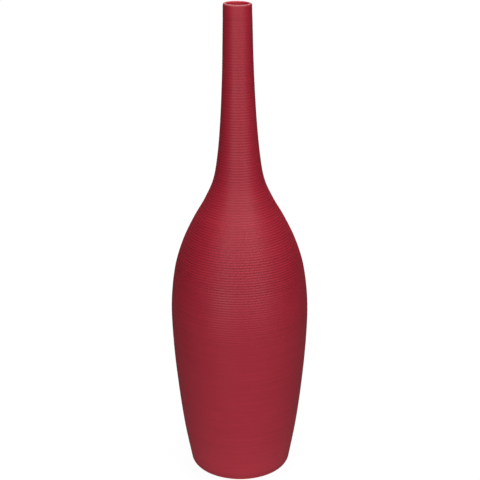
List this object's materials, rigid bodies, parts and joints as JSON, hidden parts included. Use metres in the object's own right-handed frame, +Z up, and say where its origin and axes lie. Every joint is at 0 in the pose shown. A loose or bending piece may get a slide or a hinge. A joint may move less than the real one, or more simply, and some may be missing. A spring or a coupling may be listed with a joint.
{
  "type": "bottle vase",
  "caption": "Tall ribbed ceramic bottle vase with a long narrow neck, sloping shoulder and tapering glazed body, standing on a turned foot ring.",
  "frame": {"origin": "on the vase's axis at the level that it stands on, under the middle of the foot", "axes": "+Z up along the axis through the neck; X and Y are equal, and -Y is towards the camera of the picture"},
  "size_m": [0.1706, 0.1706, 0.6],
  "materials": {
    "crimson_glaze": "satin crimson glaze over fine turned ribs",
    "fired_slip": "fired slip under the same crimson glaze",
    "pad_felt": "dense dark wool felt"
  },
  "bodies": {
    "root": {"body_shell": "crimson_glaze", "neck_shell": "crimson_glaze", "luting_slip_ring": "fired_slip", "foot_pad_1": "pad_felt", "foot_pad_2": "pad_felt", "foot_pad_3": "pad_felt", "foot_pad_4": "pad_felt"}
  },
  "joints": []
}
